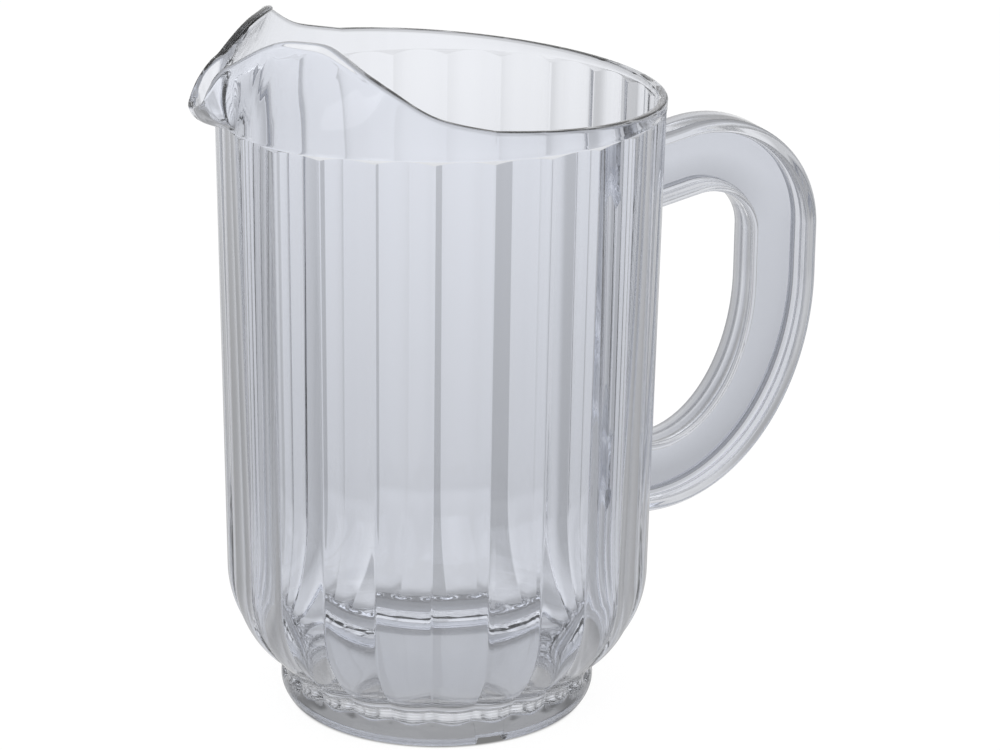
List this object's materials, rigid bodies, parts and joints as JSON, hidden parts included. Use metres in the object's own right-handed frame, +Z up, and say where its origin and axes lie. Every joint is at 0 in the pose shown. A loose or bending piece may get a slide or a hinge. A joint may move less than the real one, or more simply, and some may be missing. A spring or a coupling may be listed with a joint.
{
  "type": "beer pitcher",
  "caption": "Clear pitcher with a tapered barrel of 24 upright lobes, a round shoulder on a foot ring, a raised pouring spout and a C-shaped handle opposite it.",
  "frame": {"origin": "centre of the foot ring on the table, on the barrel's axis", "axes": "+Z up along the barrel's axis, +X towards the handle, -X towards the spout"},
  "size_m": [0.1945, 0.1302, 0.2079],
  "materials": {
    "clear_plastic": "clear, glossy moulding"
  },
  "bodies": {
    "root": {"barrel": "clear_plastic", "pouring_spout": "clear_plastic", "floor_plate": "clear_plastic", "foot_ring": "clear_plastic", "handle_web": "clear_plastic", "handle_outer_rail": "clear_plastic", "handle_inner_rail": "clear_plastic"}
  },
  "joints": []
}
